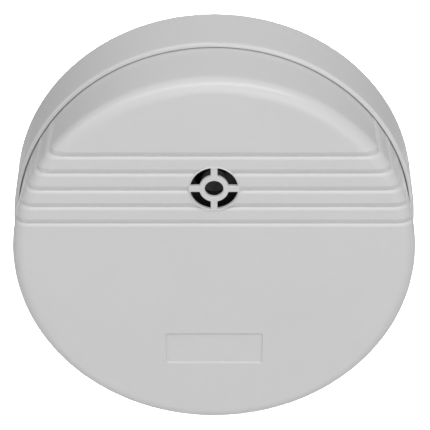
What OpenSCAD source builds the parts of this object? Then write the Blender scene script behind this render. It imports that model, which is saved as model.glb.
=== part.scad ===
// Round battery smoke detector for a wall or ceiling, shown on a wall.
// The frame has +Z up, and the front face looks toward -Y. The origin is the centre of the mounting face.
// Each sub-part is written in a local frame: x to the right, y up, z out of the wall.

/* [Case] */
// Outside diameter of the rear housing
case_d = 140; // [120:1:150]
// Depth from the wall to the flat front face
case_h = 45; // [40:0.5:52]
// Height of the housing's rim above the wall
rim_h = 21; // [17:0.5:26]
// Outside diameter at the rim, smaller than at the wall by the mould's draft
rim_d = 138.2; // [137:0.2:140]
// Width of the rim
rim_w = 1.45; // [1.4:0.05:2.2]
// Rounding of the rim's outer edge
rim_r = 1; // [0.4:0.1:1.3]
// Space between the housing's edge and the wall
case_lift = 0.4; // [0.3:0.1:1]
// Height of the housing's floor above the wall
floor_z = 5; // [4.6:0.2:8]
// Thickness of the housing's floor
floor_t = 2; // [1.6:0.2:3]

/* [Cover] */
// Gap all round between the cover and the rim, where smoke goes in
gap_w = 0.35; // [0.3:0.05:1]
// Wall thickness of the cover
cover_wall = 2; // [1.6:0.1:2.6]
// Thickness of the flat front
face_t = 2.2; // [1.8:0.1:3]
// Rounding of the front edge
edge_r = 4.7; // [3:0.1:7]
// Height of the skirt's lower edge above the wall
skirt_z = 9.4; // [9.2:0.2:14]
// Number of smoke inlets in the hidden skirt
inlet_n = 24; // [12:1:36]
// Width of a smoke inlet
inlet_w = 9; // [4:0.5:12]
// Height of a smoke inlet
inlet_h = 5; // [3:0.5:7]

/* [Grooves] */
// Number of shingle grooves
groove_n = 5; // [3:1:7]
// Height of the lowest groove's lip above the centre
groove_y = 14.6; // [12:0.2:18]
// Distance from one groove to the next
groove_pitch = 6.3; // [5:0.1:8]
// Depth at the lip
groove_deep = 0.85; // [0.5:0.05:1.1]
// Depth of the shallow step above it
groove_shallow = 0.4; // [0.2:0.05:0.5]
// Width of each of the two steps
groove_step = 1.1; // [0.8:0.1:1.6]

/* [Sounder grille] */
// Height of the grille above the centre
grille_y = 28.7; // [24:0.1:32]
// Radius of the round pad
pad_r = 8.3; // [8:0.1:10]
// Height of the pad over the face
pad_proud = 0.3; // [0.1:0.05:0.6]
// Thickness of the grille's plate
grille_t = 1.3; // [0.9:0.1:2]
// Outer radius of the arc slots
slot_ro = 7.75; // [7:0.05:8]
// Inner radius of the arc slots
slot_ri = 4.8; // [4.2:0.05:5.4]
// Radius of the centre hole
hole_r = 3.0; // [2.5:0.05:3.5]
// Width of the spokes
spoke_w = 2.2; // [1.6:0.1:3]

/* [Label recess] */
// Width of the blank recess
label_w = 33; // [28:0.5:38]
// Height of the blank recess
label_h = 12.4; // [10:0.2:15]
// Height of its centre, below the centre of the face
label_y = -35.2; // [-40:0.2:-30]
// Depth of the recess
label_deep = 0.5; // [0.3:0.05:0.8]
// Corner radius of the recess
label_r = 0.8; // [0.4:0.1:2]

/* [Mounting plate] */
// Radius of the plate
plate_r = 62; // [58:0.5:63]
// Thickness of the plate
plate_t = 3.6; // [3:0.1:4.2]
// Distance between the two screw slots
screw_pitch = 83.3; // [60.3:0.1:90]
// Length of a screw slot from end to end
screw_slot_l = 10; // [6:0.5:14]
// Width of a screw slot
screw_slot_w = 4.6; // [4:0.1:5.5]
// Number of bayonet lugs
lug_n = 3; // [2:1:4]
// Outer radius of a lug
lug_r = 67.3; // [66:0.1:67.8]
// Height of a lug's underside
lug_z = 2; // [1.8:0.1:2.6]
// Angle that a lug covers
lug_deg = 24; // [16:1:30]
// Angle that a catch of the housing covers
catch_deg = 20; // [12:1:26]
// Inner radius of a catch
catch_r = 64.4; // [63:0.1:65]
// Height of a catch's upper side
catch_z = 1.6; // [1.2:0.1:1.7]

/* [Circuit board] */
// Radius of the board
board_r = 58; // [54:0.5:60]
// Height of the board's underside
board_z = 10; // [9:0.5:12]
// Thickness of the board
board_t = 1.6; // [1:0.2:2]
// Where the board is cut off above the battery
board_cut_y = -23; // [-30:0.5:-20]
// Radius of the bosses that hold the board
boss_r = 3.5; // [3:0.1:4.5]
// Radius of the screw shafts
screw_r = 1.2; // [1:0.05:1.6]
// Radius of the screw heads
head_r = 2.6; // [2:0.1:3.2]
// Height of the screw heads
head_h = 1.6; // [1.2:0.1:2.2]
// Depth of the cross recess in the heads
head_cross = 0.9; // [0.5:0.1:1.2]

/* [Sensing chamber] */
// Centre of the chamber, across
chamber_x = -28; // [-32:0.5:-24]
// Centre of the chamber, up
chamber_y = -3; // [-6:0.5:2]
// Radius of the chamber
chamber_r = 19; // [16:0.5:19]
// Height of the chamber's base
chamber_base_t = 2.4; // [2:0.2:4]
// Height of the open space inside
chamber_gap = 12; // [9:0.5:16]
// Thickness of the chamber's cap
chamber_cap_t = 2; // [1.6:0.2:3]
// Number of labyrinth fins
fin_n = 16; // [10:1:20]
// Thickness of a fin
fin_t = 0.8; // [0.6:0.1:1.2]
// Length of each leg of a fin
fin_l = 4.2; // [3:0.2:5]
// Radius at which the fins stand
fin_at_r = 13.6; // [12:0.2:15]
// Radius of the insect screen
screen_r = 18.6; // [15:0.1:18.7]
// Thickness of the insect screen
screen_t = 0.3; // [0.2:0.05:0.5]
// Number of openings round the screen
screen_n = 36; // [20:1:48]
// Radius of the two optical parts
optic_r = 1.6; // [1.2:0.1:2.5]
// Length of the two optical parts
optic_l = 5; // [4:0.5:6]
// Angle between the light path and the sensor
optic_deg = 135; // [110:5:160]

/* [Horn] */
// Radius of the horn
horn_r = 17; // [14:0.5:18]
// Wall thickness of the horn
horn_wall = 1.8; // [1.4:0.1:2.4]
// Height of the disc's seat
disc_z = 24; // [20:0.5:28]
// Height of the horn's front
horn_top_z = 36.4; // [34:0.1:38]
// Radius of the horn's mouth
mouth_r = 6.5; // [4:0.5:9]
// Radius of the brass disc
disc_r = 14.6; // [12:0.1:15]
// Thickness of the brass disc
disc_t = 0.25; // [0.2:0.05:0.4]
// Radius of the ceramic layer
ceramic_r = 10; // [8:0.5:12]
// Thickness of the ceramic layer
ceramic_t = 0.25; // [0.2:0.05:0.4]

/* [Test button] */
// Distance from the horn's centre to the button's stem
stem_x = 24; // [22:0.5:28]
// Radius of the stem
stem_r = 2; // [1.5:0.1:2.5]
// Radial clearance of the stem in its sleeve
stem_fit = 0.08; // [0.03:0.01:0.1]
// How far the button is pressed
button_travel = 1.2; // [0.8:0.1:1.4]
// Radius of the button's cap
cap_r = 4.2; // [3.5:0.1:5]
// Height of the cap's front
cap_z = 39.7; // [38.5:0.1:41]
// Height of the arm's underside
arm_z = 37.9; // [37.6:0.1:40]
// Thickness of the arm
arm_t = 1.4; // [1.2:0.1:1.8]
// Width of the arm
arm_w = 5.6; // [4:0.2:7]
// Height of the sleeve's top
sleeve_top_z = 31; // [28:0.5:34]
// Height of the sleeve's lower end
sleeve_z = 20.5; // [18:0.5:24]
// Wall thickness of the sleeve
sleeve_wall = 1.5; // [1:0.1:2]
// Radius of the return spring
spring_r = 2.9; // [2.6:0.1:3.4]
// Radius of the spring's wire
wire_r = 0.35; // [0.2:0.05:0.5]
// Turns of the spring
spring_turns = 5; // [3:1:8]

/* [Test switch] */
// Width of the switch
switch_w = 6; // [5:0.5:7]
// Height of the switch
switch_h = 3.6; // [3:0.1:4.5]
// Radius of the plunger
plunger_r = 1.6; // [1.2:0.1:2]
// Height of the plunger's top
plunger_top_z = 18.6; // [17:0.1:18.7]

/* [Battery] */
// Length of the battery's body
battery_l = 46.4; // [44:0.1:47]
// Width of the battery
battery_w = 26.2; // [25:0.1:26.5]
// Thickness of the battery
battery_t = 17.2; // [15.5:0.1:17.5]
// Where the terminal end of the battery is, across
battery_end_x = 21; // [16:0.5:24]
// Height of the battery's centre on the face
battery_y = -38.5; // [-42:0.5:-36]
// Distance between the two terminals
terminal_pitch = 12.95; // [12.5:0.05:13]
// Radius of the stud terminal
stud_r = 2.9; // [2.7:0.05:3]
// Inner radius of the socket terminal
socket_r = 3.2; // [3:0.05:3.4]
// Outer radius of the socket terminal
socket_ro = 3.9; // [3.6:0.05:4.2]
// Height of the terminals
terminal_h = 2.6; // [2:0.1:3]
// Clearance under and beside the battery
battery_gap = 0.35; // [0.3:0.05:0.6]
// Thickness of the contact block
block_t = 3.5; // [2.5:0.1:5]
// Space between the battery's end and the block
block_gap = 3.5; // [3:0.1:4.5]
// Radius of the leads
lead_r = 0.8; // [0.5:0.05:1.2]
// Bend radius of the leads
lead_bend = 4; // [3:0.5:6]

/* [Electronic parts] */
// Length of the control chip
chip_l = 20; // [14:0.5:24]
// Width of the control chip
chip_w = 6.6; // [5:0.2:8]
// Height of the control chip
chip_h = 3.4; // [2:0.1:4]
// Legs on each side of the chip
leg_n = 8; // [4:1:10]
// Radius of the large capacitor
can_r = 4; // [3:0.1:5]
// Height of the large capacitor
can_h = 11; // [8:0.5:14]
// Radius of a resistor
resistor_r = 1.1; // [0.8:0.1:1.5]
// Length of a resistor
resistor_l = 6.4; // [5:0.2:8]
// Radius of the drive coil
coil_r = 5; // [4:0.1:6]
// Height of the drive coil
coil_h = 8; // [6:0.5:10]
// Radius of the status lamp
lamp_r = 1.5; // [1.3:0.1:2.5]
// Height of the status lamp
lamp_h = 5.4; // [4:0.2:7]

/* [Hidden] */
$fn = 96;

eps = 0.01;
case_r = case_d / 2;
rim_ro = rim_d / 2;
bore_r = rim_ro - rim_w;
cover_r = bore_r - gap_w;
grille_top = case_h + pad_proud;
grille_z = grille_top - grille_t;
grille_fit = 0.03;
floor_top = floor_z + floor_t;
board_top = board_z + board_t;
chamber_z = board_top + chamber_base_t;
chamber_top = chamber_z + chamber_gap;
screw_spots = [[-44, 28], [44, 28], [0, -19]];
stop_deg = 2.4;
stop_inset = 0.5;
stop_top = plate_t - 0.3;
window_y = 0.55 * plate_r;
window_l = 0.7 * plate_r;
window_w = 12;
seat_n = 6;
seat_w = 2;
seat_l = 4;
seat_h = 2;
snap_n = 3;
snap_deg = 12;
snap_z = 11.2;
snap_h = 1.5;
snap_out = 0.1;
groove_end_z = rim_h - 0.3;
recess_deep = 0.5;
recess_room = 0.4;
inlet_z = snap_z + snap_h + 1.2;
wall_t = 1.2;
shaft_fit = 0.05;
board_fit = 0.3;
screw_end = 0.2;
cross_w = 0.7;
fin_turns = [50, 160];
fin_tail = 0.6 * fin_l;
optic_x = 6.4;
optic_z = 3;
holder = [8.4, 4, 6, 6.2];
cap_ring = [0.6 * chamber_r, 0.5 * chamber_r, 1];
screen_hole_w = 2.2;
screen_rows = 3;
screen_bar = 1;
screen_step = (chamber_gap - screen_bar) / screen_rows;
disc_seat_r = horn_r - 2 * horn_wall + 0.3;
disc_seat_h = 2;
web_t = 3;
horn_port = [8, 5, 2];
contact_x = [0, -6, 10.6];
contact_t = 0.4;
contact_w = 3;
contact_l = 2.4;
stem_gap = 0.4;
spring_end = 0.05;
switch_floor = 0.3;
plunger_z = board_top + switch_floor + button_travel + 0.3;
chip_at = [28, -6];
chip_lift = 0.6;
chip_mark = 0.5;
leg_pitch = 2.54;
leg_w = 0.6;
leg_t = 0.35;
leg_top = 1.8;
can_at = [46, 0];
small_can_y = 11;
resistor_n = 5;
resistor_at = [-3, 2];
resistor_pitch = 4;
resistor_lift = 1.5;
wire_out = 1.1;
lead_wire_r = 0.3;
coil_at = [14, -15.5];
flange_t = 1;
lamp_at = [34, 12];
lamp_foot = 0.3;
jacket_r = 2.2;
contact_in = 0.8;
stud_in = 0.4;
lead_lift = 0.6;
lead_end_y = -18;
lead_side = 6.5;
lead_x = [34, 39];
joint_r = 1.5 * lead_r;
cradle_h = 7;
cradle_l = 38;
battery_z = floor_top + battery_gap + battery_t / 2;
block_x = battery_end_x + block_gap;
block_w = 22;
block_h = 17;
contact_clear = 0.3;

cover_grey = [0.80, 0.80, 0.80];
housing_grey = [0.79, 0.785, 0.785];
plate_grey = [0.74, 0.74, 0.74];
black = [0.04, 0.04, 0.045];
board_green = [0.10, 0.32, 0.16];
steel = [0.70, 0.70, 0.72];
brass = [0.78, 0.62, 0.30];
ceramic_white = [0.90, 0.89, 0.85];
screen_grey = [0.45, 0.46, 0.48];
battery_blue = [0.16, 0.20, 0.27];
lead_red = [0.70, 0.06, 0.05];
copper = [0.62, 0.32, 0.14];
resistor_tan = [0.76, 0.62, 0.42];
lamp_red = [0.80, 0.05, 0.04];
sensor_dark = [0.10, 0.08, 0.12];
switch_grey = [0.25, 0.25, 0.27];

// ---- helpers ----

module out_of_wall() {
    rotate([90, 0, 0]) children();
}

// A drum whose front edge is rounded by e.
module round_drum(r, z0, z1, e) {
    rotate_extrude()
        union() {
            translate([0, z0]) square([r - e, z1 - z0]);
            translate([0, z0]) square([r, z1 - e - z0]);
            translate([r - e, z1 - e]) circle(e);
        }
}

module ring(ro, ri, z0, z1) {
    translate([0, 0, z0])
        difference() {
            cylinder(r = ro, h = z1 - z0);
            translate([0, 0, -eps]) cylinder(r = ri, h = z1 - z0 + 2 * eps);
        }
}

// Part of a ring, centred on angle a and deg wide.
module ring_part(ro, ri, z0, z1, a, deg) {
    rotate([0, 0, a - deg / 2])
        translate([0, 0, z0])
            rotate_extrude(angle = deg)
                translate([ri, 0]) square([ro - ri, z1 - z0]);
}

module slot_hole(l, w, z0, z1) {
    translate([0, 0, z0])
        linear_extrude(z1 - z0)
            union() {
                square([l - w, w], center = true);
                for (s = [-1, 1]) translate([s * (l - w) / 2, 0]) circle(w / 2);
            }
}

module round_rect(w, h, r) {
    union() {
        square([w - 2 * r, h], center = true);
        square([w, h - 2 * r], center = true);
        for (sx = [-1, 1], sy = [-1, 1])
            translate([sx * (w / 2 - r), sy * (h / 2 - r)]) circle(r);
    }
}

module box_at(x, y, z0, w, h, t) {
    translate([x - w / 2, y - h / 2, z0]) cube([w, h, t]);
}

// ---- mounting plate ----

module mounting_plate() {
    color(plate_grey) out_of_wall() difference() {
        union() {
            cylinder(r = plate_r, h = plate_t);
            for (i = [0 : lug_n - 1]) {
                ring_part(lug_r, plate_r - wall_t, lug_z, plate_t, 90 + i * 360 / lug_n, lug_deg);
                ring_part(lug_r - stop_inset, plate_r - 2 * wall_t, case_lift, stop_top,
                          90 + i * 360 / lug_n - lug_deg / 2 - stop_inset, stop_deg);
            }
        }
        for (s = [-1, 1])
            translate([s * screw_pitch / 2, 0, 0]) slot_hole(screw_slot_l, screw_slot_w, -1, plate_t + 1);
        for (s = [-1, 1])
            translate([0, s * window_y, 0]) slot_hole(window_l, window_w, -1, plate_t + 1);
    }
}

// ---- rear housing ----

module housing_shell() {
    rotate_extrude()
        union() {
            difference() {
                union() {
                    polygon([[bore_r, case_lift], [case_r, case_lift], [rim_ro, rim_h - rim_r],
                             [rim_ro - rim_r, rim_h - rim_r], [rim_ro - rim_r, rim_h], [bore_r, rim_h]]);
                    translate([rim_ro - rim_r, rim_h - rim_r]) circle(rim_r);
                }
                translate([0, floor_z]) square([bore_r, rim_h]);
            }
            translate([0, floor_z]) square([bore_r + eps, floor_t]);
        }
}

// Blocks that the cover's lower edge comes down to.
module cover_seats() {
    for (i = [0 : seat_n - 1])
        rotate([0, 0, (i + 0.5) * 360 / seat_n])
            translate([bore_r - seat_l, -seat_w / 2, floor_top - eps])
                cube([seat_l + rim_w / 2, seat_w, seat_h]);
}

module board_bosses() {
    for (p = screw_spots)
        translate([p[0], p[1], 0])
            ring(boss_r, screw_r + shaft_fit, floor_top - eps, board_z);
}

module battery_cradle() {
    for (s = [-1, 1])
        box_at(0, battery_y + s * (battery_w / 2 + battery_gap + wall_t / 2), floor_top - eps,
               cradle_l, wall_t, cradle_h);
}

module rear_housing() {
    color(housing_grey) out_of_wall() difference() {
        union() {
            housing_shell();
            cover_seats();
            board_bosses();
            battery_cradle();
            for (i = [0 : lug_n - 1])
                ring_part(bore_r + rim_w / 2, catch_r, case_lift, catch_z, 90 + i * 360 / lug_n, catch_deg);
        }
        for (i = [0 : snap_n - 1])
            ring_part(bore_r + recess_deep, bore_r - 1, snap_z - recess_room, snap_z + snap_h + recess_room,
                      i * 360 / snap_n, snap_deg + 2);
    }
}

// ---- front cover ----

// The cover's outer form, set back by d everywhere.
module cover_form(d) {
    round_drum(cover_r - d, skirt_z, case_h - d, edge_r);
}

module groove_bands(from, wide) {
    for (i = [0 : groove_n - 1])
        translate([-case_d, groove_y + i * groove_pitch + from, groove_end_z])
            cube([2 * case_d, wide, case_h]);
}

module groove_cut(d, from) {
    difference() {
        groove_bands(from, groove_step);
        cover_form(d);
    }
}

// Four arc slots, parted by the spokes.
module arc_slots() {
    difference() {
        ring(slot_ro, slot_ri, grille_z - 1, grille_top + 1);
        for (a = [0, 90])
            rotate([0, 0, a]) box_at(0, 0, grille_z - 2, 4 * slot_ro, spoke_w, grille_t + 4);
    }
}

module front_cover() {
    color(cover_grey) out_of_wall() difference() {
        union() {
            difference() {
                cover_form(0);
                groove_cut(groove_deep, 0);
                groove_cut(groove_shallow, groove_step);
            }
            for (i = [0 : snap_n - 1])
                ring_part(cover_r + snap_out, cover_r - 1, snap_z, snap_z + snap_h,
                          i * 360 / snap_n, snap_deg);
        }
        round_drum(cover_r - cover_wall, skirt_z - 1, case_h - face_t, edge_r - cover_wall);
        translate([0, grille_y, case_h - 2 * face_t]) cylinder(r = pad_r + grille_fit, h = 3 * face_t);
        translate([0, label_y, case_h - label_deep])
            linear_extrude(2 * label_deep) round_rect(label_w, label_h, label_r);
        for (i = [0 : inlet_n - 1])
            rotate([0, 0, (i + 0.5) * 360 / inlet_n])
                translate([cover_r - 2 * cover_wall, -inlet_w / 2, inlet_z])
                    cube([3 * cover_wall, inlet_w, inlet_h]);
    }
}

// ---- sounder grille: a thin round plate pressed into the cover ----

module sounder_grille() {
    color(cover_grey) out_of_wall() translate([0, grille_y, 0]) difference() {
        translate([0, 0, grille_z]) cylinder(r = pad_r, h = grille_t);
        arc_slots();
        translate([0, 0, grille_z - 1]) cylinder(r = hole_r, h = grille_t + 2);
    }
}

// ---- circuit board ----

module circuit_board() {
    color(board_green) out_of_wall() difference() {
        translate([0, 0, board_z]) cylinder(r = board_r, h = board_t);
        box_at(0, board_cut_y - board_r, board_z - 1, 4 * board_r, 2 * board_r, board_t + 2);
        for (p = screw_spots)
            translate([p[0], p[1], board_z - 1]) cylinder(r = screw_r + board_fit, h = board_t + 2);
    }
}

module board_screw() {
    difference() {
        union() {
            translate([0, 0, floor_top + screw_end]) cylinder(r = screw_r, h = board_top - floor_top);
            translate([0, 0, board_top]) cylinder(r = head_r, h = head_h);
        }
        for (a = [45, 135])
            rotate([0, 0, a]) box_at(0, 0, board_top + head_h - head_cross, 1.4 * head_r, cross_w, 2);
    }
}

module board_screws() {
    color(steel) out_of_wall()
        for (p = screw_spots) translate([p[0], p[1], 0]) board_screw();
}

// ---- sensing chamber ----

module fin(z0, h) {
    translate([fin_at_r, 0, z0]) {
        rotate([0, 0, fin_turns[0]]) translate([0, -fin_t / 2, 0]) cube([fin_l, fin_t, h]);
        rotate([0, 0, fin_turns[1]]) translate([-fin_t / 2, -fin_t / 2, 0]) cube([fin_tail, fin_t, h]);
    }
}

module optic_holder(a) {
    rotate([0, 0, a]) difference() {
        box_at(holder[0], 0, chamber_z - eps, holder[1], holder[2], holder[3]);
        translate([0, 0, chamber_z + optic_z]) rotate([0, 90, 0]) cylinder(r = optic_r, h = 20);
    }
}

module chamber_base() {
    color(black) out_of_wall() translate([chamber_x, chamber_y, 0]) union() {
        translate([0, 0, board_top]) cylinder(r = chamber_r, h = chamber_base_t);
        for (i = [0 : fin_n - 1])
            rotate([0, 0, (i + 0.5) * 360 / fin_n]) fin(chamber_z - eps, chamber_gap);
        optic_holder(180);
        optic_holder(180 + optic_deg);
    }
}

module chamber_cap() {
    color(black) out_of_wall() translate([chamber_x, chamber_y, chamber_top]) difference() {
        union() {
            cylinder(r = chamber_r, h = chamber_cap_t);
            translate([0, 0, chamber_cap_t - eps]) cylinder(r = cap_ring[0], h = cap_ring[2]);
        }
        translate([0, 0, chamber_cap_t]) cylinder(r = cap_ring[1], h = 2 * cap_ring[2]);
    }
}

module insect_screen() {
    color(screen_grey) out_of_wall() translate([chamber_x, chamber_y, 0]) difference() {
        ring(screen_r, screen_r - screen_t, chamber_z, chamber_top);
        for (i = [0 : screen_n - 1], k = [0 : screen_rows - 1])
            rotate([0, 0, i * 360 / screen_n])
                translate([screen_r - 1, -screen_hole_w / 2, chamber_z + screen_bar + k * screen_step])
                    cube([2, screen_hole_w, screen_step - screen_bar]);
    }
}

module optic() {
    translate([optic_x, 0, chamber_z + optic_z]) {
        rotate([0, 90, 0]) cylinder(r = optic_r - shaft_fit, h = optic_l - 1);
        sphere(optic_r - shaft_fit);
    }
}

module infrared_emitter() {
    color(sensor_dark) out_of_wall() translate([chamber_x, chamber_y, 0]) rotate([0, 0, 180]) optic();
}

module light_sensor() {
    color(sensor_dark) out_of_wall()
        translate([chamber_x, chamber_y, 0]) rotate([0, 0, 180 + optic_deg]) optic();
}

// ---- horn ----

module horn_base() {
    color(black) out_of_wall() translate([0, grille_y, 0]) difference() {
        union() {
            ring(horn_r, horn_r - horn_wall, board_top, disc_z);
            ring(horn_r - horn_wall + eps, disc_seat_r, disc_z - disc_seat_h, disc_z);
            translate([stem_x, 0, 0])
                translate([0, 0, sleeve_z]) cylinder(r = stem_r + sleeve_wall, h = sleeve_top_z - sleeve_z);
            box_at((horn_r + stem_x) / 2 - 1, 0, sleeve_z, stem_x - horn_r, web_t, disc_z - sleeve_z);
        }
        translate([stem_x, 0, sleeve_z - 1]) cylinder(r = stem_r + stem_fit, h = 2 * sleeve_top_z);
        for (i = [0 : 5])
            rotate([0, 0, i * 60 + 30])
                box_at(horn_r, 0, board_top + horn_port[2], 3 * horn_wall, horn_port[0], horn_port[1]);
    }
}

module horn_cap() {
    color(black) out_of_wall() translate([0, grille_y, 0]) difference() {
        translate([0, 0, disc_z + disc_t]) cylinder(r = horn_r, h = horn_top_z - disc_z - disc_t);
        translate([0, 0, disc_z]) cylinder(r = disc_seat_r, h = horn_top_z - disc_z - horn_wall);
        translate([0, 0, disc_z]) cylinder(r = mouth_r, h = horn_top_z);
    }
}

module piezo_disc() {
    color(brass) out_of_wall() translate([0, grille_y, disc_z]) cylinder(r = disc_r, h = disc_t);
}

module piezo_ceramic() {
    color(ceramic_white) out_of_wall()
        translate([0, grille_y, disc_z - ceramic_t]) cylinder(r = ceramic_r, h = ceramic_t);
}

module horn_contact(x, top) {
    box_at(x, grille_y, board_top, contact_t, contact_w, top - board_top);
    box_at(x + 1, grille_y, top - contact_t, contact_l, contact_w, contact_t);
}

module horn_contacts() {
    color(steel) out_of_wall() {
        horn_contact(contact_x[0], disc_z - ceramic_t);
        horn_contact(contact_x[1], disc_z - ceramic_t);
        horn_contact(contact_x[2], disc_z);
    }
}

// ---- test button and its switch ----

module test_button() {
    color(black) out_of_wall() translate([0, grille_y, 0]) union() {
        translate([0, 0, arm_z]) cylinder(r = cap_r, h = cap_z - arm_z);
        box_at(stem_x / 2, 0, arm_z, stem_x, arm_w, arm_t);
        translate([stem_x, 0, arm_z]) cylinder(r = arm_w / 2 + 1, h = arm_t);
        translate([stem_x, 0, plunger_top_z + stem_gap]) cylinder(r = stem_r, h = arm_z - plunger_top_z);
    }
}

module button_spring() {
    color(steel) out_of_wall()
        translate([stem_x, grille_y, sleeve_top_z + wire_r + spring_end])
            linear_extrude(arm_z - sleeve_top_z - 2 * (wire_r + spring_end), twist = -360 * spring_turns,
                           slices = 24 * spring_turns, $fn = 12)
                translate([spring_r, 0]) scale([1, 2]) circle(wire_r, $fn = 12);
}

module test_switch() {
    color(switch_grey) out_of_wall() translate([stem_x, grille_y, 0]) difference() {
        box_at(0, 0, board_top, switch_w, switch_w, switch_h);
        translate([0, 0, board_top + switch_floor]) cylinder(r = plunger_r + stem_fit, h = switch_h);
    }
}

module switch_plunger() {
    color(black) out_of_wall() translate([stem_x, grille_y, plunger_z])
        cylinder(r = plunger_r, h = plunger_top_z - plunger_z);
}

// ---- parts on the board ----

module control_chip() {
    color(black) out_of_wall() difference() {
        box_at(chip_at[0], chip_at[1], board_top + chip_lift, chip_l, chip_w, chip_h);
        translate([chip_at[0] - chip_l / 2, chip_at[1], board_top + chip_lift + chip_h - chip_mark])
            cylinder(r = 1, h = 1);
    }
}

module chip_legs() {
    color(steel) out_of_wall()
        for (i = [0 : leg_n - 1], s = [-1, 1]) {
            x = chip_at[0] + (i - (leg_n - 1) / 2) * leg_pitch;
            box_at(x, chip_at[1] + s * (chip_w / 2 + 0.5), board_top + leg_top, leg_w + 0.5, 1, leg_t);
            box_at(x, chip_at[1] + s * (chip_w / 2 + 1), board_top, leg_w, leg_t, leg_top + leg_t);
        }
}

module capacitors() {
    color(battery_blue) out_of_wall() {
        translate([can_at[0], can_at[1], board_top]) cylinder(r = can_r, h = can_h);
        translate([can_at[0], small_can_y, board_top]) cylinder(r = 0.75 * can_r, h = 0.8 * can_h);
    }
}

module resistors() {
    color(resistor_tan) out_of_wall()
        for (i = [0 : resistor_n - 1])
            translate([resistor_at[0] + i * resistor_pitch, resistor_at[1], board_top + resistor_lift]) {
                rotate([90, 0, 0]) cylinder(r = resistor_r, h = resistor_l, center = true);
                for (s = [-1, 1]) {
                    rotate([-s * 90, 0, 0])
                        cylinder(r = lead_wire_r, h = resistor_l / 2 + wire_out + lead_wire_r);
                    translate([0, s * (resistor_l / 2 + wire_out), -resistor_lift])
                        cylinder(r = lead_wire_r, h = resistor_lift);
                }
            }
}

module drive_coil() {
    color(copper) out_of_wall() translate([coil_at[0], coil_at[1], board_top]) {
        cylinder(r = coil_r, h = flange_t);
        translate([0, 0, flange_t - eps]) cylinder(r = coil_r - 1, h = coil_h - 2 * flange_t + 2 * eps);
        translate([0, 0, coil_h - flange_t]) cylinder(r = coil_r, h = flange_t);
    }
}

module status_lamp() {
    color(lamp_red) out_of_wall() translate([lamp_at[0], lamp_at[1], board_top]) {
        cylinder(r = lamp_r + lamp_foot, h = 1);
        cylinder(r = lamp_r, h = lamp_h - lamp_r);
        translate([0, 0, lamp_h - lamp_r]) sphere(lamp_r);
    }
}

// ---- battery ----

module battery_case() {
    color(battery_blue) out_of_wall()
        translate([battery_end_x - battery_l, battery_y, battery_z])
            rotate([90, 0, 90]) linear_extrude(battery_l) round_rect(battery_w, battery_t, jacket_r);
}

// Placed at a terminal's centre, pointing from the battery's end to the block.
module at_terminal(s) {
    translate([battery_end_x, battery_y + s * terminal_pitch / 2, battery_z]) rotate([0, 90, 0]) children();
}

module battery_terminals() {
    color(steel) out_of_wall() {
        at_terminal(1) cylinder(r = stud_r, h = terminal_h);
        at_terminal(-1) ring(socket_ro, socket_r, 0, terminal_h);
    }
}

module terminal_block() {
    color(black) out_of_wall()
        box_at(block_x + block_t / 2, battery_y, floor_top, block_t, block_w, block_h);
}

module battery_contacts() {
    color(steel) out_of_wall() {
        at_terminal(1) ring(socket_ro, stud_r + contact_clear, contact_in, block_gap);
        at_terminal(-1) translate([0, 0, stud_in])
            cylinder(r = socket_r - contact_clear, h = block_gap - stud_in);
    }
}

// A lead from the block's back, round one bend and up to the board.
module lead(from_y, run_x, to_y) {
    z = board_top + lead_r + lead_lift;
    start_x = block_x + block_t;
    translate([start_x, from_y, z]) rotate([0, 90, 0]) cylinder(r = lead_r, h = run_x - lead_bend - start_x);
    translate([run_x - lead_bend, from_y + lead_bend, z])
        rotate([0, 0, -90]) rotate_extrude(angle = 90) translate([lead_bend, 0]) circle(lead_r);
    translate([run_x, from_y + lead_bend, z])
        rotate([-90, 0, 0]) cylinder(r = lead_r, h = to_y - from_y - lead_bend);
    translate([run_x, to_y, board_top]) cylinder(r = joint_r, h = 2 * lead_r + lead_lift);
}

module lead_positive() {
    color(lead_red) out_of_wall() lead(battery_y + lead_side, lead_x[0], lead_end_y);
}

module lead_negative() {
    color(black) out_of_wall() lead(battery_y - lead_side, lead_x[1], lead_end_y);
}

mounting_plate();
rear_housing();
front_cover();
circuit_board();
board_screws();
chamber_base();
chamber_cap();
insect_screen();
infrared_emitter();
light_sensor();
horn_base();
horn_cap();
piezo_disc();
piezo_ceramic();
horn_contacts();
test_button();
button_spring();
test_switch();
switch_plunger();
control_chip();
chip_legs();
capacitors();
resistors();
drive_coil();
status_lamp();
battery_case();
battery_terminals();
terminal_block();
battery_contacts();
lead_positive();
lead_negative();
sounder_grille();
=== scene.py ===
"""Round wall smoke detector, with its face towards -Y.

The front cover, the sounder's grille and the return spring are modelled here and replace their CAD nodes.
Every other piece is a CAD node in its own shape, with a material and, on the plain ones, a small bevel.
"""
import itertools
import math

import bmesh
import bpy
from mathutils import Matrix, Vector

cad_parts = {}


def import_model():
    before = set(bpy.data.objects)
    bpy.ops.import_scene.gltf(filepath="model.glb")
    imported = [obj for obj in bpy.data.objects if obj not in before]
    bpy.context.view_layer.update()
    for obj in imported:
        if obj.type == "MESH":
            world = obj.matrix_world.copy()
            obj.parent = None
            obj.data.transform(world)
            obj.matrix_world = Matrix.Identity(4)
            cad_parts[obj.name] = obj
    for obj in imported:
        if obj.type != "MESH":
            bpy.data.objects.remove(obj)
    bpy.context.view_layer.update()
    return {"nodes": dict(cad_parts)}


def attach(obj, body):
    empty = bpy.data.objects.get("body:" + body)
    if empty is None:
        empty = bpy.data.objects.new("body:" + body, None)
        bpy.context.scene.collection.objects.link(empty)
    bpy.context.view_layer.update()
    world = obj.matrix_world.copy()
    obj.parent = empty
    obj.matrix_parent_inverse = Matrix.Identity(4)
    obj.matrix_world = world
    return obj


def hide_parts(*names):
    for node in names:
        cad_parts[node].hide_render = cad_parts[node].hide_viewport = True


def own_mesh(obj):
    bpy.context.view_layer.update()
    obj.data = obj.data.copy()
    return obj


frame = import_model()
MM = 0.001

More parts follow.
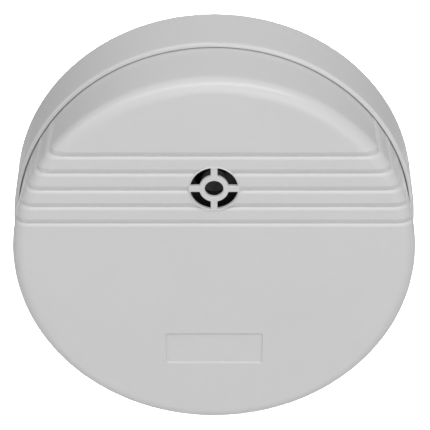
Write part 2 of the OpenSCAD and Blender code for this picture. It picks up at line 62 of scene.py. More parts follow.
# Sizes in millimetres, as in the CAD. Local frame: x right, y up, z out of the wall.
CASE_H = 45.0                                # from the wall to the cover's face
COVER_R = 67.3
COVER_WALL = 2.0
FACE_T = 2.2
EDGE_R = 4.7                                 # rounding between the face and the side wall
SKIRT_Z = 9.4                                # lower edge of the cover's side wall

GROOVE_Y = [15.1, 21.4, 27.7, 34.0, 40.3]    # deepest line of each groove
GROOVE_DEEP = 0.85
FACET_W = 1.9                                # sloping facet above that line
LIP_W = 1.1                                  # round lip below it
GROOVE_END_Z = 20.7                          # how far down the side wall the grooves run

GRILLE_Y = 28.7
PAD_R = 8.3
PAD_GAP = 0.01                               # between the plate and its hole in the cover
CIRCLE_SIDES = 120                           # of that plate and hole
GRILLE_TOP = CASE_H + 0.3
GRILLE_T = 1.3
SLOT_RO, SLOT_RI = 7.75, 4.8
SLOT_CORNER = 0.35
HOLE_R = 3.0
SPOKE_W = 2.2

LABEL_W, LABEL_H, LABEL_R = 33.0, 12.4, 0.8  # the blank recess
LABEL_Y = -35.2
LABEL_DEEP = 0.5

INLETS = 24                                  # smoke inlets, openings round the hidden skirt
INLET_Z = 16.4
INLET_HALF_W, INLET_HALF_H = 4.5, 2.5
INLET_HALF_CUT = 3.0                         # half the length of each inlet's cutting block, wall through

SPRING_X = 24.0                              # the button's stem
SPRING_R, WIRE_R = 2.9, 0.42
SPRING_Z = (31.0, 37.9)                      # the faces that the spring stands between
SPRING_CLEAR = 0.47                          # from those faces to the middle of the wire
SPRING_TURNS = 5.0


def world(x, y, z):
    """A point of the local frame, in metres in the row frame."""
    return Vector((x * MM, -z * MM, y * MM))


# ---------------------------------------------------------------- mesh helpers

def new_object(name, verts, faces):
    mesh = bpy.data.meshes.new(name)
    mesh.from_pydata([world(*v) for v in verts], [], faces)
    mesh.validate()
    mesh.update()
    obj = bpy.data.objects.new(name, mesh)
    bpy.context.scene.collection.objects.link(obj)
    return obj


def clean(obj, merge=1e-6):
    """Merges doubled points, drops empty faces and turns all faces outwards."""
    bm = bmesh.new()
    bm.from_mesh(obj.data)
    bmesh.ops.remove_doubles(bm, verts=bm.verts, dist=merge)
    bmesh.ops.dissolve_degenerate(bm, edges=bm.edges, dist=merge)
    bmesh.ops.recalc_face_normals(bm, faces=bm.faces)
    bm.to_mesh(obj.data)
    bm.free()
    return obj


def sharpen(obj, degrees=32):
    """Smooth shading, with sharp edges where faces meet at more than this angle."""
    for poly in obj.data.polygons:
        poly.use_smooth = True
    obj.data.set_sharp_from_angle(angle=math.radians(degrees))
    mod = obj.modifiers.new("weighted", "WEIGHTED_NORMAL")
    mod.keep_sharp = True
    mod.weight = 80
    return obj


def cut(obj, cutter):
    """Takes the cutter out of the object's mesh, and removes the cutter."""
    mod = obj.modifiers.new("cut", "BOOLEAN")
    mod.object = cutter
    mod.operation = "DIFFERENCE"
    mod.solver = "EXACT"
    bpy.context.view_layer.update()
    evaluated = obj.evaluated_get(bpy.context.evaluated_depsgraph_get())
    mesh = bpy.data.meshes.new_from_object(evaluated)
    obj.modifiers.remove(mod)
    obj.data = mesh
    bpy.data.objects.remove(cutter)


def prism(name, outline, levels):
    """A closed solid through loops of equal length. levels lists (z, how far the outline grows there)."""
    verts, faces = [], []
    n = len(outline(0.0))
    for z, grow in levels:
        verts += [(x, y, z) for x, y in outline(grow)]
    for k in range(len(levels) - 1):
        for i in range(n):
            j = (i + 1) % n
            faces.append((k * n + i, k * n + j, (k + 1) * n + j, (k + 1) * n + i))
    faces.append(tuple(range(n)))
    last = (len(levels) - 1) * n
    faces.append(tuple(last + i for i in reversed(range(n))))
    return clean(new_object(name, verts, faces))


# Each ..._loop function returns an outline for prism: a function from growth to a list of points.

def circle_loop(r, cy, n):
    def loop(grow):
        angles = [2 * math.pi * i / n for i in range(n)]
        return [((r + grow) * math.cos(a), cy + (r + grow) * math.sin(a)) for a in angles]
    return loop


def rounded_rect_loop(w, h, r, cy, n=10):
    def loop(grow):
        points = []
        for k, (sx, sy) in enumerate(((1, 1), (-1, 1), (-1, -1), (1, -1))):
            for i in range(n + 1):
                a = math.pi / 2 * (k + i / n)
                points.append((sx * (w / 2 - r) + (r + grow) * math.cos(a),
                               cy + sy * (h / 2 - r) + (r + grow) * math.sin(a)))
        return points
    return loop


def arc_slot_loop(turn, n=20):
    """The arc slot between two of the grille's spokes, with small round corners, turned about its middle."""
    def loop(grow):
        ro, ri, s = SLOT_RO + grow, SLOT_RI - grow, SPOKE_W / 2 - grow
        c = SLOT_CORNER + 0.6 * grow
        xo, xi = math.sqrt(ro * ro - s * s), math.sqrt(ri * ri - s * s)
        a0, a1 = math.asin(s / ro), math.pi / 2 - math.asin(s / ro)
        b0, b1 = math.asin(s / ri), math.pi / 2 - math.asin(s / ri)
        da, db = c / ro, c / ri
        outer = [a0 + da + (a1 - a0 - 2 * da) * i / n for i in range(n + 1)]
        inner = [b1 - db - (b1 - b0 - 2 * db) * i / n for i in range(n + 1)]
        outer = [(ro * math.cos(a), ro * math.sin(a)) for a in outer]
        inner = [(ri * math.cos(a), ri * math.sin(a)) for a in inner]
        points = outer + corner_arc(outer[-1], (s, xo), (s, xo - c))
        points += corner_arc((s, xi + c), (s, xi), inner[0]) + inner
        points += corner_arc(inner[-1], (xi, s), (xi + c, s)) + corner_arc((xo - c, s), (xo, s), outer[0])
        ct, st = math.cos(turn), math.sin(turn)
        return [(ct * x - st * y, GRILLE_Y + st * x + ct * y) for x, y in points]
    return loop


def corner_arc(p, q, r, n=5):
    """Points of a smooth corner from p past corner q to r, without its two ends."""
    out = []
    for i in range(1, n):
        t = i / n
        out.append(tuple((1 - t) ** 2 * p[k] + 2 * t * (1 - t) * q[k] + t * t * r[k] for k in range(2)))
    return out


# ---------------------------------------------------------------- front cover

def groove_depth(y):
    """How far the cover's surface is set back at height y: a sloping facet, then a round lip under it."""
    for c in GROOVE_Y:
        if c <= y < c + FACET_W:
            return GROOVE_DEEP * (c + FACET_W - y) / FACET_W
        if c - LIP_W < y < c:
            t = (c - y) / LIP_W
            return GROOVE_DEEP * (1.0 - math.sqrt(max(0.0, 1.0 - (1.0 - t) ** 2)))
    return 0.0


def cover_stations(step=1.5, margin=0.25):
    """(height, depth) of the cover's slices: even steps in degrees round the wall, closer at each groove."""
    even = [COVER_R * math.sin(math.radians(i * step - 90)) for i in range(round(180 / step) + 1)]
    heights = [y for y in even if not any(c - LIP_W - margin < y < c + FACET_W + margin for c in GROOVE_Y)]
    for c in GROOVE_Y:
        heights += [c + FACET_W + 0.02, c + FACET_W - 0.03, c + FACET_W * 0.5, c + 0.02]
        heights += [c - LIP_W * (1 - math.cos(math.radians(a))) for a in range(12, 90, 12)]
        heights.append(c - LIP_W)
    return sorted((y, groove_depth(y)) for y in heights)


def half_width(r, y):
    """Half the width of a circle of radius r at height y."""
    return math.sqrt(max(0.0, r * r - y * y))


def cover_slice(y, d, n_wall=7, n_edge=9, n_face=22):
    """The right half of the cover's outline at height y, set back by d, from the skirt to the middle."""
    r, h, e = COVER_R - d, CASE_H - d, EDGE_R - d
    x_skirt, x_wall = half_width(COVER_R, y), half_width(r, y)
    wall_z = GROOVE_END_Z + 0.05
    pts = [(x_skirt, SKIRT_Z), (x_skirt, 0.5 * (SKIRT_Z + GROOVE_END_Z)), (x_skirt, GROOVE_END_Z)]
    pts += [(x_wall, wall_z + (h - e - wall_z) * i / n_wall) for i in range(n_wall)]
    x_top = max(half_width(r - e, y), 0.4 * x_wall)
    u_top = max(0.0, min(1.0, (math.hypot(x_top, y) - (r - e)) / e))
    for i in range(n_edge):
        tau = math.acos(u_top) * i / n_edge
        pts.append((half_width(r - e + e * math.cos(tau), y), h - e + e * math.sin(tau)))
    for i in range(n_face + 1):
        x = x_top * (1 - i / n_face)
        u = max(0.0, min(1.0, (math.hypot(x, y) - (r - e)) / e))
        pts.append((x, h - e + e * math.sqrt(1 - u * u)))
    return pts


def cover_shell():
    """The cover before anything is cut: slices across its outside, and rings up its inside to the middle."""
    rows = []
    for y, d in cover_stations():
        y = max(d - COVER_R, min(COVER_R - d, y))
        half = cover_slice(y, d)
        rows.append([(x, y, z) for x, z in half] + [(-x, y, z) for x, z in reversed(half[:-1])])
    width = len(rows[0])
    verts = [v for row in rows for v in row]
    faces = []
    for j in range(len(rows) - 1):
        for a in range(j * width, j * width + width - 1):
            faces.append((a, a + 1, a + 1 + width, a + width))

    r, h, e = COVER_R - COVER_WALL, CASE_H - FACE_T, EDGE_R - COVER_WALL
    inner = [(r, SKIRT_Z + (h - e - SKIRT_Z) * i / 6) for i in range(7)]
    for a in map(math.radians, range(15, 91, 15)):
        inner.append((r - e + e * math.cos(a), h - e + e * math.sin(a)))
    inner += [(r * f, h) for f in (0.8, 0.6, 0.4, 0.2)]
    rim = [j * width for j in range(len(rows))] + [j * width + width - 1 for j in range(len(rows) - 2, 0, -1)]
    angles = [math.atan2(verts[i][1], verts[i][0]) for i in rim]
    rings = [rim]
    for ring_r, z in inner:
        rings.append(list(range(len(verts), len(verts) + len(rim))))
        verts += [(ring_r * math.cos(a), ring_r * math.sin(a), z) for a in angles]
    for lo, hi in zip(rings, rings[1:]):
        for i in range(len(rim)):
            j = (i + 1) % len(rim)
            faces.append((lo[i], lo[j], hi[j], hi[i]))
    last, middle = rings[-1], len(verts)
    verts.append((0, 0, h))
    faces += [(last[i], last[(i + 1) % len(rim)], middle) for i in range(len(rim))]
    return clean(new_object("cover_shell", verts, faces), 2e-6)


def inlet_cutter():
    """A block through the cover's side wall for each smoke inlet, all in one mesh."""
    block_faces = ((0, 1, 3, 2), (4, 6, 7, 5), (0, 4, 5, 1), (2, 3, 7, 6), (0, 2, 6, 4), (1, 5, 7, 3))
    r = COVER_R - COVER_WALL / 2
    verts, faces = [], []
    for i in range(INLETS):
        a = math.radians((i + 0.5) * 360 / INLETS)
        base = Vector((r * math.cos(a), r * math.sin(a), INLET_Z))
        along = Vector((-math.sin(a), math.cos(a), 0))
        out = Vector((math.cos(a), math.sin(a), 0))
        for so, sz, sa in itertools.product((-1, 1), repeat=3):
            verts.append(tuple(base + along * sa * INLET_HALF_W + out * so * INLET_HALF_CUT
                               + Vector((0, 0, sz * INLET_HALF_H))))
        faces += [tuple(8 * i + k for k in face) for face in block_faces]
    return clean(new_object("inlets", verts, faces))


def make_cover():
    """The shell with the grille's hole, the blank recess and the smoke inlets cut out of it."""
    cover = cover_shell()
    above = CASE_H + 1
    through = [(CASE_H - 2 * FACE_T, 0.0), (above, 0.0)]
    cut(cover, prism("cut", circle_loop(PAD_R + PAD_GAP, GRILLE_Y, CIRCLE_SIDES), through))
    floor_z = CASE_H - LABEL_DEEP
    # Slightly rounded at the floor, and then at the top.
    recess = [(floor_z, -0.12), (floor_z + 0.1, 0.0)]
    recess += [(CASE_H - 0.22, 0.0), (CASE_H - 0.1, 0.06), (CASE_H + 0.01, 0.22), (above, 0.22)]
    cut(cover, prism("cut", rounded_rect_loop(LABEL_W, LABEL_H, LABEL_R, LABEL_Y), recess))
    cut(cover, inlet_cutter())
    return sharpen(cover)


def make_grille():
    """The round plate in the cover: a centre hole and four arc slots, all with a small edge rounding."""
    top = GRILLE_TOP
    edge = [(top - GRILLE_T, 0.0), (top - 0.28, 0.0), (top - 0.15, -0.04), (top - 0.05, -0.13), (top, -0.3)]
    plate = prism("sounder_plate", circle_loop(PAD_R, GRILLE_Y, CIRCLE_SIDES), edge)
    flare = [(top - 2 * GRILLE_T, 0.0), (top - 0.35, 0.0), (top - 0.2, 0.04), (top - 0.08, 0.13),
             (top + 0.02, 0.3), (top + 1, 0.3)]
    openings = [circle_loop(HOLE_R, GRILLE_Y, 72)] + [arc_slot_loop(q * math.pi / 2) for q in range(4)]
    for outline in openings:
        cut(plate, prism("cut", outline, flare))
    return sharpen(plate)


# ---------------------------------------------------------------- return spring

def make_spring(steps=220, sides=10):
    """A round-wire coil on the button's stem, as a swept tube. The wire lies level at both ends."""
    low, high = SPRING_Z[0] + SPRING_CLEAR, SPRING_Z[1] - SPRING_CLEAR
    verts, faces = [], []
    for i in range(steps + 1):
        t = i / steps
        a = 2 * math.pi * SPRING_TURNS * t
        lift = min(1.0, max(0.0, (t - 0.1) / 0.8))      # level for the first and last tenth
        middle = Vector((SPRING_X + SPRING_R * math.cos(a), GRILLE_Y + SPRING_R * math.sin(a),
                         low + (high - low) * lift))
        out = Vector((math.cos(a), math.sin(a), 0))
        for k in range(sides):
            b = 2 * math.pi * k / sides
            verts.append(tuple(middle + out * (WIRE_R * math.cos(b)) + Vector((0, 0, WIRE_R * math.sin(b)))))
    for i in range(steps):
        for k in range(sides):
            m = (k + 1) % sides
            faces.append((i * sides + k, i * sides + m, (i + 1) * sides + m, (i + 1) * sides + k))
    faces.append(tuple(reversed(range(sides))))
    faces.append(tuple(steps * sides + k for k in range(sides)))
    return sharpen(clean(new_object("return_spring", verts, faces)), 50)


# ---------------------------------------------------------------- materials

class Nodes:
    """Short calls for building one procedural material. Texture scales are per metre, in object space."""

    def __init__(self, name):
        self.mat = bpy.data.materials.new(name)
        self.mat.use_nodes = True
        self.tree = self.mat.node_tree
        self.shader = self.tree.nodes["Principled BSDF"]
        self.coord = self.add("ShaderNodeTexCoord").outputs["Object"]

    def add(self, kind, **values):
        node = self.tree.nodes.new(kind)
        for key, value in values.items():
            setattr(node, key, value)
        return node

    def link(self, a, b):
        self.tree.links.new(a, b)

    def put(self, socket, value):
        """Feeds a socket from another one, or sets it to a number or to a colour of three numbers."""
        if isinstance(value, bpy.types.NodeSocket):
            self.link(value, socket)
        else:
            socket.default_value = (*value, 1.0) if isinstance(value, tuple) else value

    def noise(self, scale, detail, rough=0.5, stretch=(1, 1, 1)):
        vector = self.coord
        if stretch != (1, 1, 1):
            mapping = self.add("ShaderNodeMapping")
            mapping.inputs["Scale"].default_value = stretch
            self.link(self.coord, mapping.inputs["Vector"])
            vector = mapping.outputs["Vector"]
        node = self.add("ShaderNodeTexNoise")
        self.link(vector, node.inputs["Vector"])
        for key, value in (("Scale", scale), ("Detail", detail), ("Roughness", rough)):
            node.inputs[key].default_value = value
        return node.outputs["Fac"]

    def voronoi(self, scale, feature="F1", metric="EUCLIDEAN"):
        node = self.add("ShaderNodeTexVoronoi", feature=feature, distance=metric)
        self.link(self.coord, node.inputs["Vector"])
        node.inputs["Scale"].default_value = scale
        return node.outputs["Distance"]

    def remap(self, value, a, b, lo=0.0, hi=1.0):
        """lo where the value is a, hi where it is b, and clamped outside them."""
        node = self.add("ShaderNodeMapRange")
        self.link(value, node.inputs["Value"])
        for key, v in (("From Min", a), ("From Max", b), ("To Min", lo), ("To Max", hi)):
            node.inputs[key].default_value = v
        return node.outputs["Result"]

    def vary(self, scale, detail, lo=0.0, hi=1.0):
        """A value that drifts from lo to hi over the surface with noise of this scale."""
        return self.remap(self.noise(scale, detail), 0.3, 0.7, lo, hi)

    def mix(self, factor, a, b):
        node = self.add("ShaderNodeMix", data_type="RGBA")
        self.put(node.inputs["Factor"], factor)
        self.put(node.inputs[6], a)
        self.put(node.inputs[7], b)
        return node.outputs[2]

    def math(self, operation, a, b=0.0):
        node = self.add("ShaderNodeMath", operation=operation)
        self.put(node.inputs[0], a)
        self.put(node.inputs[1], b)
        return node.outputs[0]

    def axis(self, name):
        node = self.add("ShaderNodeSeparateXYZ")
        self.link(self.coord, node.inputs["Vector"])
        return node.outputs[name]

    def edge(self, strength):
        """The strength along convex edges, from the surface's own curvature, and 0 elsewhere. It places the
        painted edge highlights.
        """
        pointiness = self.add("ShaderNodeNewGeometry").outputs["Pointiness"]
        return self.math("MULTIPLY", self.remap(pointiness, 0.51, 0.56), strength)

    def bump(self, *layers):
        """Layers of (height, strength, distance in metres), one on another."""
        last = None
        for height, strength, distance in layers:
            node = self.add("ShaderNodeBump")
            node.inputs["Strength"].default_value = strength
            node.inputs["Distance"].default_value = distance
            self.link(height, node.inputs["Height"])
            if last is not None:
                self.link(last, node.inputs["Normal"])
            last = node.outputs["Normal"]
        self.link(last, self.shader.inputs["Normal"])

    def finish(self, colour, rough, metallic=0.0, ior=1.46, **others):
        self.put(self.shader.inputs["Base Color"], colour)
        self.put(self.shader.inputs["Roughness"], rough)
        self.shader.inputs["Metallic"].default_value = metallic
        self.shader.inputs["IOR"].default_value = ior
        for key, value in others.items():
            self.shader.inputs[key.replace("_", " ")].default_value = value
        return self.mat


def shade(colour, k):
    return tuple(min(1.0, c * k) for c in colour)


def moulded(name, colour, rough=0.31, grain=0.3, specks=True):
    """Moulded light plastic: eroded grain, faint flow mottling, a few specks, and convex edges lightened a
    little as a painted highlight.
    """
    n = Nodes(name)
    base = n.mix(n.vary(28, 4), shade(colour, 0.985), shade(colour, 1.012))
    base = n.mix(n.remap(n.noise(420, 2), 0.35, 0.65, 0.0, 0.35), base, shade(colour, 0.975))
    if specks:
        spots = n.math("MULTIPLY", n.remap(n.voronoi(170), 0.045, 0.02), n.remap(n.noise(60, 1), 0.56, 0.62))
        base = n.mix(n.math("MULTIPLY", spots, 0.3), base, shade(colour, 0.7))
    # Painted highlight: convex edges lightened to a brighter copy of the same white.
    base = n.mix(n.edge(0.175), base, shade(colour, 1.05))
    roughness = n.vary(240, 3, rough - 0.02, rough + 0.02)
    n.bump((n.noise(2600, 2), 0.10 * grain, 0.00008), (n.noise(900, 3), 0.10 * grain, 0.00012),
           (n.noise(45, 2), 0.05 * grain, 0.0006))
    return n.finish(base, roughness, ior=1.5)


def metal(name, colour, rough=0.3, stretch=(1, 1, 14), scale=300):
    """Drawn or rolled metal: streaks along one axis, a little tarnish, and convex edges brightened as a
    painted highlight.
    """
    n = Nodes(name)
    streak = n.noise(scale, 4, 0.6, stretch)
    base = n.mix(n.remap(n.noise(90, 4), 0.4, 0.75, 0.0, 0.4), colour, shade(colour, 0.62))
    base = n.mix(n.remap(streak, 0.35, 0.65, 0.0, 0.3), base, shade(colour, 0.85))
    # Painted highlight: convex edges brightened to a lighter copy of the same metal.
    base = n.mix(n.edge(0.5), base, shade(colour, 1.2))
    n.bump((streak, 0.12, 0.00005), (n.noise(700, 2), 0.08, 0.00004))
    return n.finish(base, n.remap(streak, 0.3, 0.7, rough - 0.07, rough + 0.1), metallic=1.0)


def solder_mask(name):
    """Green board with lighter traces, and tinned pads here and there."""
    n = Nodes(name)
    green = (0.030, 0.150, 0.060)
    traces = n.remap(n.voronoi(210, "F1", "MANHATTAN"), 0.40, 0.44)
    fine = n.remap(n.voronoi(210, "DISTANCE_TO_EDGE"), 0.10, 0.07)
    base = n.mix(n.math("MULTIPLY", traces, 0.6), green, (0.055, 0.230, 0.095))
    base = n.mix(n.math("MULTIPLY", fine, 0.55), base, (0.070, 0.260, 0.110))
    pads = n.remap(n.voronoi(330), 0.16, 0.12)
    some = n.remap(n.noise(150, 1), 0.52, 0.56)
    dots = n.math("MULTIPLY", pads, some)
    base = n.mix(dots, base, (0.62, 0.62, 0.60))
    base = n.mix(n.remap(n.noise(40, 4), 0.4, 0.7, 0.0, 0.25), base, shade(green, 0.7))
    n.bump((traces, 0.35, 0.00005), (dots, 0.5, 0.00012), (n.noise(1800, 2), 0.05, 0.00004))
    return n.finish(base, n.vary(300, 2, 0.28, 0.40), ior=1.5)


def banded(name, ground, bands, axis, origin, width, rough=0.4):
    """Lacquered body with colour bands across one axis. bands lists (metres from the origin, colour)."""
    n = Nodes(name)
    base = n.mix(n.remap(n.noise(500, 3), 0.35, 0.65, 0.0, 0.4), ground, shade(ground, 0.86))
    along = n.axis(axis)
    for place, colour in bands:
        off = n.math("ABSOLUTE", n.math("SUBTRACT", along, origin + place))
        base = n.mix(n.remap(off, width * 1.15, width * 0.85), base, colour)
    n.bump((n.noise(900, 3), 0.15, 0.00006), (n.noise(260, 2), 0.12, 0.0001))
    return n.finish(base, n.vary(400, 2, rough - 0.06, rough + 0.08))


def winding(name):
    """Enamelled copper wire, wound side by side, with painted shade in the gaps between turns and a painted
    highlight along each turn.
    """
    n = Nodes(name)
    wave = n.add("ShaderNodeTexWave", wave_type="BANDS", bands_direction="Y")
    n.link(n.coord, wave.inputs["Vector"])
    for key, value in (("Scale", 620), ("Distortion", 0.6), ("Detail", 1.0)):
        wave.inputs[key].default_value = value
    turns = wave.outputs["Fac"]
    # Painted shade and highlight: each turn runs from a dark copper in the gaps to a bright copper on its
    # crown.
    base = n.mix(n.remap(turns, 0.0, 1.0), (0.20, 0.065, 0.02), (0.62, 0.27, 0.10))
    base = n.mix(n.remap(n.noise(120, 3), 0.4, 0.7, 0.0, 0.35), base, (0.12, 0.05, 0.03))
    n.bump((turns, 0.7, 0.00015))
    return n.finish(base, n.vary(300, 2, 0.28, 0.42), metallic=0.7)


def moulded_black(name, colour=(0.018, 0.018, 0.020), rough=0.5):
    """Dark moulded plastic, with its convex edges turned greyer as a painted highlight."""
    n = Nodes(name)
    base = n.mix(n.remap(n.noise(70, 4), 0.35, 0.7), colour, shade(colour, 1.7))
    # Painted highlight: convex edges lightened to a greyer copy of the same black.
    base = n.mix(n.edge(0.5), base, shade(colour, 3.2))
    n.bump((n.noise(2000, 2), 0.15, 0.00006), (n.noise(500, 3), 0.10, 0.0001))
    return n.finish(base, n.vary(260, 3, rough - 0.08, rough + 0.1))


def dark_lens(name, colour):
    """Glossy tinted resin."""
    n = Nodes(name)
    base = n.mix(n.remap(n.noise(160, 3), 0.35, 0.7), colour, shade(colour, 0.7))
    n.bump((n.noise(700, 2), 0.06, 0.00005))
    return n.finish(base, n.vary(300, 2, 0.08, 0.16), ior=1.5, Coat_Weight=0.6)


def battery_jacket(name):
    """Wrapped steel can: dark jacket, a copper-coloured collar at the terminal end, and a fine seam."""
    collar_x, seam_x, blur = 0.0085, 0.0078, 0.0002
    n = Nodes(name)
    x = n.axis("X")
    dark = n.mix(n.remap(n.noise(60, 3), 0.35, 0.7), (0.020, 0.026, 0.040), (0.032, 0.040, 0.058))
    collar = n.remap(x, collar_x, collar_x + blur)
    base = n.mix(collar, dark, n.mix(n.vary(200, 3), (0.55, 0.27, 0.12), (0.66, 0.36, 0.17)))
    seam = n.remap(n.math("ABSOLUTE", n.math("SUBTRACT", x, seam_x)), 2 * blur, blur)
    base = n.mix(n.math("MULTIPLY", seam, 0.8), base, (0.72, 0.72, 0.72))
    # Painted highlight: convex edges turned a light grey.
    base = n.mix(n.edge(0.6), base, (0.40, 0.40, 0.42))
    n.bump((n.noise(900, 3), 0.10, 0.00006), (collar, 0.5, 0.0001), (n.noise(30, 2), 0.15, 0.0006))
    return n.finish(base, n.vary(200, 3, 0.22, 0.36), Coat_Weight=0.3)


def ceramic_layer(name):
    """Fired silvered ceramic, off-white and matt."""
    n = Nodes(name)
    base = n.mix(n.remap(n.noise(300, 4), 0.35, 0.7), (0.78, 0.76, 0.70), (0.66, 0.64, 0.58))
    n.bump((n.noise(1500, 3), 0.2, 0.00005))
    return n.finish(base, n.vary(500, 2, 0.5, 0.65))


def sleeve(name, colour):
    """Soft lead insulation, with handling marks."""
    n = Nodes(name)
    base = n.mix(n.remap(n.noise(220, 4), 0.35, 0.7), colour, shade(colour, 0.75))
    base = n.mix(n.remap(n.noise(900, 2), 0.55, 0.75, 0.0, 0.3), base, shade(colour, 1.3))
    n.bump((n.noise(1200, 3), 0.2, 0.00006))
    return n.finish(base, n.vary(300, 2, 0.36, 0.5))


def paint(obj, material):
    obj.data.materials.clear()
    obj.data.materials.append(material)


def dress(node, material, rounding=0.0):
    """Gives a CAD node its material and, where stated, a bevel of so many millimetres on its edges."""
    obj = frame["nodes"][node]
    paint(obj, material)
    if rounding:
        mod = obj.modifiers.new("bevel", "BEVEL")
        mod.width = rounding * MM
        mod.segments = 2
        mod.limit_method = "ANGLE"
        mod.angle_limit = math.radians(40)
        mod.harden_normals = True


# ---------------------------------------------------------------- the object

COVER_WHITE = (0.72, 0.72, 0.72)
HOUSING_WHITE = (0.715, 0.705, 0.71)

cover = make_cover()
paint(cover, moulded("cover_plastic", COVER_WHITE, grain=0.1, specks=False))
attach(cover, "cover")
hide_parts("front_cover")

grille = make_grille()
paint(grille, moulded("grille_plastic", COVER_WHITE, grain=0.1, specks=False))
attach(grille, "cover")
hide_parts("sounder_grille")

spring = make_spring()
paint(spring, metal("spring_wire", (0.62, 0.62, 0.64), 0.25, (1, 1, 1), 500))
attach(spring, "housing")
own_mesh(spring)
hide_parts("button_spring")

dress("rear_housing", moulded("housing_plastic", HOUSING_WHITE, 0.44))
dress("mounting_plate", moulded("plate_plastic", (0.60, 0.60, 0.60), 0.5, 0.8), 0.3)
dress("circuit_board", solder_mask("solder_mask"), 0.12)
dress("board_screws", metal("screw_zinc", (0.66, 0.65, 0.60), 0.28), 0.08)
dress("chamber_base", moulded_black("black_plastic"))
dress("chamber_cap", moulded_black("chamber_black", (0.022, 0.022, 0.024), 0.55), 0.25)
dress("insect_screen", metal("screen_mesh", (0.42, 0.43, 0.45), 0.42, (1, 1, 1), 900))
dress("infrared_emitter", dark_lens("emitter_lens", (0.030, 0.024, 0.045)))
dress("light_sensor", dark_lens("sensor_lens", (0.018, 0.014, 0.020)))
dress("horn_base", moulded_black("horn_black", (0.016, 0.016, 0.018), 0.48), 0.15)
dress("horn_cap", moulded_black("horn_cap_black", (0.018, 0.018, 0.020), 0.46), 0.3)
dress("piezo_disc", metal("brass_disc", (0.72, 0.52, 0.20), 0.26))
dress("piezo_ceramic", ceramic_layer("piezo_layer"))
dress("horn_contacts", metal("contact_nickel", (0.68, 0.66, 0.60), 0.24))
dress("test_button", moulded_black("button_black", (0.020, 0.020, 0.022), 0.4), 0.25)
dress("test_switch", moulded_black("switch_body", (0.05, 0.05, 0.055), 0.45), 0.2)
dress("switch_plunger", moulded_black("plunger_black", (0.03, 0.03, 0.03), 0.4), 0.15)
dress("control_chip", moulded_black("chip_epoxy", (0.020, 0.020, 0.021), 0.55), 0.2)
dress("chip_legs", metal("tinned_legs", (0.66, 0.66, 0.64), 0.3), 0.06)
dress("capacitors", banded("capacitor_sleeve", (0.020, 0.026, 0.042), [(0.0, (0.42, 0.44, 0.46))],
                           "X", 0.0425, 0.0009, 0.3), 0.4)
dress("resistors", banded("resistor_lacquer", (0.62, 0.47, 0.28), [
    (-0.0020, (0.35, 0.16, 0.05)), (-0.0009, (0.02, 0.02, 0.02)), (0.0002, (0.55, 0.04, 0.03)),
    (0.0018, (0.55, 0.38, 0.10))], "Z", 0.002, 0.00028), 0.2)
dress("drive_coil", winding("copper_winding"), 0.2)
dress("status_lamp", dark_lens("lamp_lens", (0.62, 0.02, 0.015)))
dress("battery_case", battery_jacket("battery_jacket"), 0.5)
dress("battery_terminals", metal("steel", (0.60, 0.60, 0.62)), 0.15)
dress("terminal_block", moulded_black("block_black"), 0.3)
dress("battery_contacts", metal("contact_plate", (0.66, 0.64, 0.58), 0.26), 0.12)
dress("lead_positive", sleeve("red_sleeve", (0.55, 0.025, 0.02)))
dress("lead_negative", sleeve("black_sleeve", (0.02, 0.02, 0.022)))

# ---------------------------------------------------------------- stage, light and camera, in metres

FLOOR_HALF, FLOOR_Z = 6.0, -0.45
# The camera's place, aim and lens are those of a pinhole camera fitted to the object's proportions.
CAM_DISTANCE, CAM_ELEVATION = 0.5523, 31.0
CAM_X, AIM_Y = 0.0003, -0.0147
FOCAL_PX, IMAGE_PX = 1546.0, 430.0           # focal length and picture width, in pixels
SENSOR_W = 36.0                              # millimetres


def make_floor():
    n = Nodes("floor_paint")
    base = n.mix(n.vary(3, 3), (0.90, 0.90, 0.90), (0.88, 0.88, 0.88))
    n.bump((n.noise(60, 3), 0.05, 0.001))
    n.finish(base, n.vary(8, 2, 0.75, 0.85))
    mesh = bpy.data.meshes.new("floor")
    corners = [(sx * FLOOR_HALF, sy * FLOOR_HALF, FLOOR_Z) for sx, sy in ((-1, -1), (1, -1), (1, 1), (-1, 1))]
    mesh.from_pydata(corners, [], [(0, 1, 2, 3)])
    mesh.materials.append(n.mat)
    floor = bpy.data.objects.new("floor", mesh)
    bpy.context.scene.collection.objects.link(floor)


def link_aimed(obj, place, aim):
    """Puts a lamp or camera at a place, looking at another, and adds it to the scene."""
    obj.location = place
    obj.rotation_mode = "QUATERNION"
    obj.rotation_quaternion = (Vector(aim) - Vector(place)).to_track_quat("-Z", "Y")
    bpy.context.scene.collection.objects.link(obj)


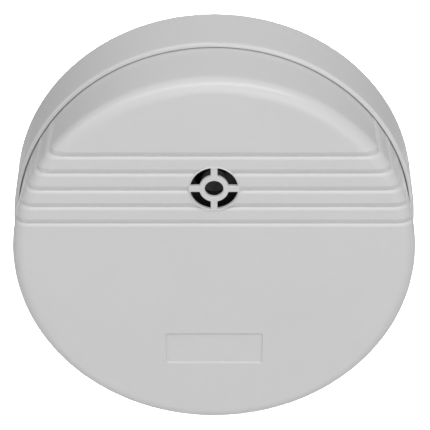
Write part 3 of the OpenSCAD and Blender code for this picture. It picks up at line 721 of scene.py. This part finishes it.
def area(name, place, size, power, aim=(0, 0, 0), spread=180):
    data = bpy.data.lights.new(name, "AREA")
    data.shape = "RECTANGLE"
    data.size, data.size_y = size
    data.energy = power
    data.spread = math.radians(spread)
    link_aimed(bpy.data.objects.new(name, data), place, aim)


def make_world(slope=-0.24, rise=0.10, level=0.43):
    """A grey studio. Towards direction X its brightness is X * (slope * X + rise) + level."""
    sky = bpy.data.worlds.new("studio")
    bpy.context.scene.world = sky
    sky.use_nodes = True
    tree = sky.node_tree
    coord = tree.nodes.new("ShaderNodeTexCoord")
    split = tree.nodes.new("ShaderNodeSeparateXYZ")
    tree.links.new(coord.outputs["Generated"], split.inputs["Vector"])
    inner, outer = (tree.nodes.new("ShaderNodeMath") for _ in range(2))
    for node in (inner, outer):
        node.operation = "MULTIPLY_ADD"
        tree.links.new(split.outputs["X"], node.inputs[0])
    inner.inputs[1].default_value = slope
    inner.inputs[2].default_value = rise
    tree.links.new(inner.outputs[0], outer.inputs[1])
    outer.inputs[2].default_value = level
    tree.links.new(outer.outputs[0], tree.nodes["Background"].inputs["Color"])


def make_camera():
    data = bpy.data.cameras.new("camera")
    data.sensor_width = SENSOR_W
    data.lens = SENSOR_W * FOCAL_PX / IMAGE_PX
    data.clip_start, data.clip_end = 0.01, 50.0
    camera = bpy.data.objects.new("camera", data)
    tilt = math.radians(CAM_ELEVATION)
    place = (CAM_X, -CAM_DISTANCE * math.cos(tilt), CAM_DISTANCE * math.sin(tilt))
    link_aimed(camera, place, (CAM_X, AIM_Y, 0.0))
    bpy.context.scene.camera = camera


make_floor()
make_world()
area("key", (0.15, -0.50, 1.10), (1.3, 0.22), 5.2)
area("shoulder_a", (-0.62, -0.50, 0.88), (0.30, 0.16), 1.0)
area("shoulder_b", (-0.92, -0.44, 0.56), (0.16, 0.16), 0.6)
area("shoulder_c", (-1.08, -0.40, 0.26), (0.10, 0.16), 0.3)
area("fill", (0.35, -1.20, 0.36), (1.2, 1.0), 4.2)
area("floor_wash", (0.0, 0.90, 0.50), (0.6, 1.0), 8, aim=(0.0, 0.90, -0.45), spread=50)
make_camera()
bpy.context.scene.view_settings.view_transform = "Standard"
